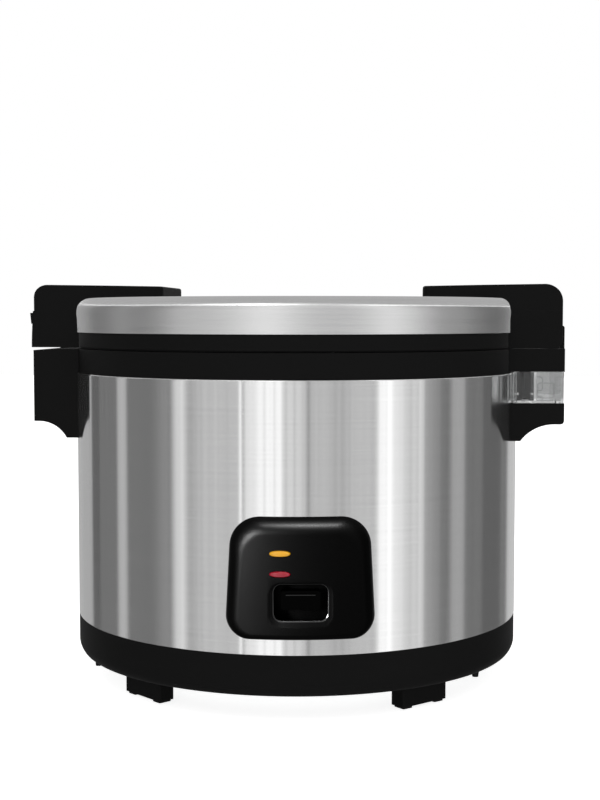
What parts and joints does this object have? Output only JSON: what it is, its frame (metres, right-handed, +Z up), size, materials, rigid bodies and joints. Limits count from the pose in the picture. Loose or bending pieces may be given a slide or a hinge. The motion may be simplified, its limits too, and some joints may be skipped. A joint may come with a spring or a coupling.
{
  "type": "rice cooker",
  "caption": "Large brushed-steel rice cooker with a hinged latched lid, black handles, a clear water cup and a lever switch with lamps.",
  "frame": {"origin": "on the drum's axis at floor level, under the foot pads", "axes": "+X towards the hinge and the water cup, -Y to the front with the control panel, +Z up"},
  "size_m": [0.4633, 0.4078, 0.3417],
  "materials": {
    "black_plastic": "satin injection-moulded plastic",
    "gloss_black": "smooth moulded plastic",
    "brushed_steel": "finely brushed round the body",
    "plain_steel": "plain sheet",
    "bright_steel": "plated",
    "aluminium": "spun or cast, satin",
    "ferrite": "sintered, dark",
    "brass": "plain",
    "rubber": "matt",
    "silicone": "soft, matt",
    "glass_wool": "loose fibre",
    "light_plastic": "heat-proof moulding",
    "amber_lens": "translucent amber",
    "red_lens": "translucent red",
    "clear_plastic": "clear moulding"
  },
  "bodies": {
    "cooker": {"base_ring": "black_plastic", "feet": "black_plastic", "foot_pads": "rubber", "bottom_cover": "plain_steel", "base_screws": "bright_steel", "cover_screws": "bright_steel", "outer_shell": "brushed_steel", "upper_ring": "black_plastic", "inner_shell": "plain_steel", "insulation": "glass_wool", "side_heater": "aluminium", "heating_plate": "aluminium", "heater_terminals": "brass", "sensor_housing": "plain_steel", "sensor_spring": "bright_steel", "switch_pin": "bright_steel", "switch_bracket": "plain_steel", "micro_switch": "gloss_black", "thermal_fuse": "light_plastic", "terminal_block": "light_plastic", "control_panel": "gloss_black", "keep_warm_lens": "amber_lens", "cooking_lens": "red_lens", "lamp_holder": "light_plastic", "power_inlet": "gloss_black", "inlet_pins": "brass", "left_handle": "black_plastic", "right_handle": "black_plastic", "handle_screws": "bright_steel", "strike_plate": "plain_steel", "hinge_housing": "black_plastic", "hinge_pin": "bright_steel", "hinge_springs": "bright_steel"},
    "sensor": {"sensor_cap": "aluminium", "sensor_ferrite": "ferrite"},
    "magnet": {"pull_rod": "bright_steel", "pull_magnet": "ferrite"},
    "switch": {"switch_lever": "plain_steel", "switch_key": "gloss_black"},
    "pot": {"inner_pot": "aluminium"},
    "cup": {"water_cup": "clear_plastic"},
    "lid": {"lid_ring": "black_plastic", "lid_cap": "brushed_steel", "lid_pan": "plain_steel", "inner_lid": "plain_steel", "lid_gasket": "silicone", "lid_insulation": "glass_wool", "vent_tube": "black_plastic", "left_arm_cover": "black_plastic", "left_arm_base": "black_plastic", "right_arm_cover": "black_plastic", "right_arm_base": "black_plastic", "latch_pin": "bright_steel", "latch_spring": "bright_steel", "lid_screws": "bright_steel"},
    "latch": {"latch_lever": "black_plastic"},
    "vent": {"vent_cap": "black_plastic"}
  },
  "joints": [
    {"name": "lid_hinge", "type": "hinge", "parent": "cooker", "child": "lid", "pos_m": [0.223, 0, 0.295], "axis": [0, 1, 0], "range_deg": [0, 80]},
    {"name": "latch_press", "type": "hinge", "parent": "lid", "child": "latch", "pos_m": [-0.2125, 0, 0.303], "axis": [0, 1, 0], "range_deg": [0, 7], "stiffness_Nm_per_rad": 0.8, "springref_deg": -5.73},
    {"name": "vent_lift", "type": "slide", "parent": "lid", "child": "vent", "axis": [0, 0, 1], "range_m": [0, 0.015]},
    {"name": "cup_slide", "type": "slide", "parent": "cooker", "child": "cup", "axis": [1, 0, 0], "range_m": [0, 0.06]},
    {"name": "pot_turn", "type": "hinge", "parent": "cooker", "child": "pot", "pos_m": [0, 0, 0.1], "axis": [0, 0, 1], "continuous": true},
    {"name": "sensor_press", "type": "slide", "parent": "cooker", "child": "sensor", "axis": [0, 0, -1], "range_m": [0, 0.0025], "stiffness_N_per_m": 1500, "springref_m": -0.003, "deforming": ["sensor_spring"]},
    {"name": "switch_press", "type": "hinge", "parent": "cooker", "child": "switch", "pos_m": [0.01004, -0.09547, 0.0458], "axis": [0.9945, 0.1045, 0], "range_deg": [0, 5], "stiffness_Nm_per_rad": 2, "springref_deg": -5.73},
    {"name": "magnet_lift", "type": "slide", "parent": "cooker", "child": "magnet", "axis": [0, 0, 1], "range_m": [0, 0.0084]}
  ],
  "couplings": [
    {"joint": "magnet_lift", "follows": "switch_press", "m_per_rad": 0.096}
  ]
}
